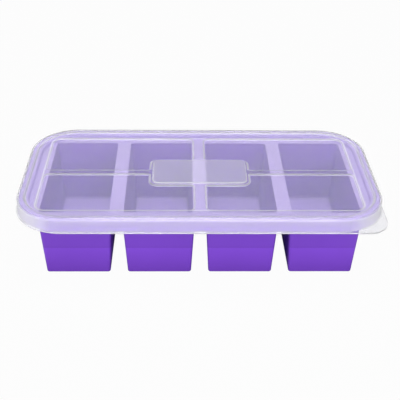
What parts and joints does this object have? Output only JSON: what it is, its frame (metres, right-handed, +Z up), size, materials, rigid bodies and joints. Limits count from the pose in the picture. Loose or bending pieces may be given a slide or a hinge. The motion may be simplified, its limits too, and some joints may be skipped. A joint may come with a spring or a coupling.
{
  "type": "baby food freezer tray",
  "caption": "Row of deep drafted freezer cells hung from a wire-stiffened silicone rim, under a clear press-on lid with recessed panels and a corner lift tab.",
  "frame": {"origin": "on the surface that the tray stands on, under the middle of the tray", "axes": "+Z up, +X along the row of cells, -Y towards the user, so the lid's lift tab is at the +X, -Y corner"},
  "size_m": [0.2768, 0.1422, 0.0609],
  "materials": {
    "silicone": "satin moulded silicone",
    "wire_steel": "drawn stainless wire",
    "lid_plastic": "milky clear polypropylene"
  },
  "bodies": {
    "tray": {"tray": "silicone", "rim_wire": "wire_steel"},
    "lid": {"lid": "lid_plastic"}
  },
  "joints": [
    {"name": "lid_lift", "type": "slide", "parent": "tray", "child": "lid", "axis": [0, 0, 1], "range_m": [0, 0.08]}
  ]
}
